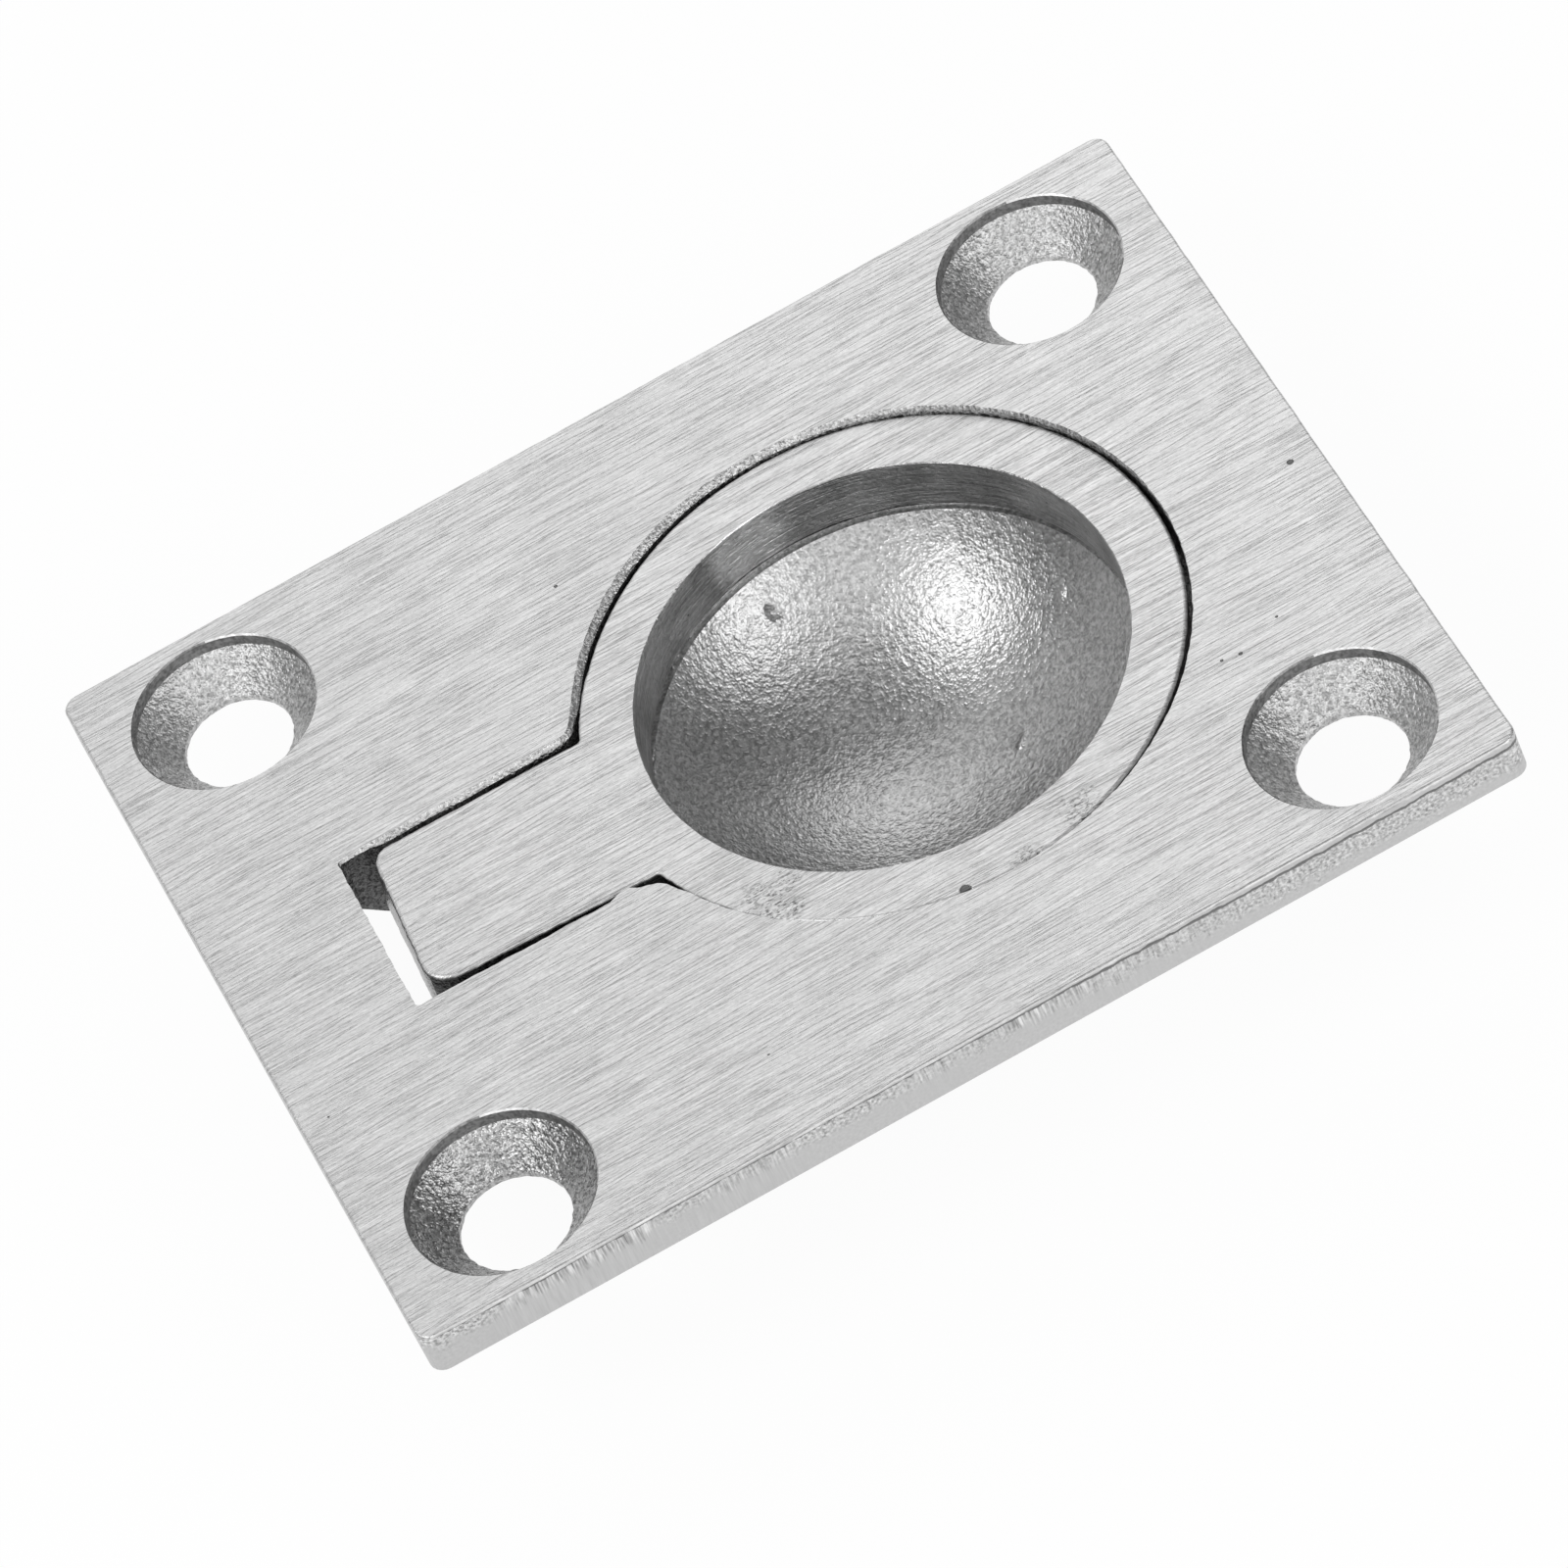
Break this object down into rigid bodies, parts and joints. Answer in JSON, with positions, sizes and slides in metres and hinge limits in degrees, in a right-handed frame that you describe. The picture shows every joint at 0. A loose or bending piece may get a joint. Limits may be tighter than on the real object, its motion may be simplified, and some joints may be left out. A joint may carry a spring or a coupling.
{
  "type": "recessed ring pull handle",
  "caption": "Flush ring pull with a brushed rectangular face plate, countersunk screw holes, a domed finger dish and a ring that lifts on a hidden pin.",
  "frame": {"origin": "centre of the screw-hole pattern, on the underside of the plate", "axes": "+X along the plate from the hinge to the ring, +Y across the plate, +Z out of the panel"},
  "size_m": [0.063, 0.05, 0.0126],
  "materials": {
    "plate_steel": "cast, face brushed along the length, dish shot-blasted",
    "ring_steel": "cast, face brushed along the length",
    "pin_steel": "drawn wire"
  },
  "bodies": {
    "plate": {"face_plate": "plate_steel", "hinge_pin": "pin_steel"},
    "ring": {"pull_ring": "ring_steel"}
  },
  "joints": [
    {"name": "ring_lift", "type": "hinge", "parent": "plate", "child": "ring", "pos_m": [-0.0189, 0, -0.00105], "axis": [0, -1, 0], "range_deg": [0, 90]}
  ]
}
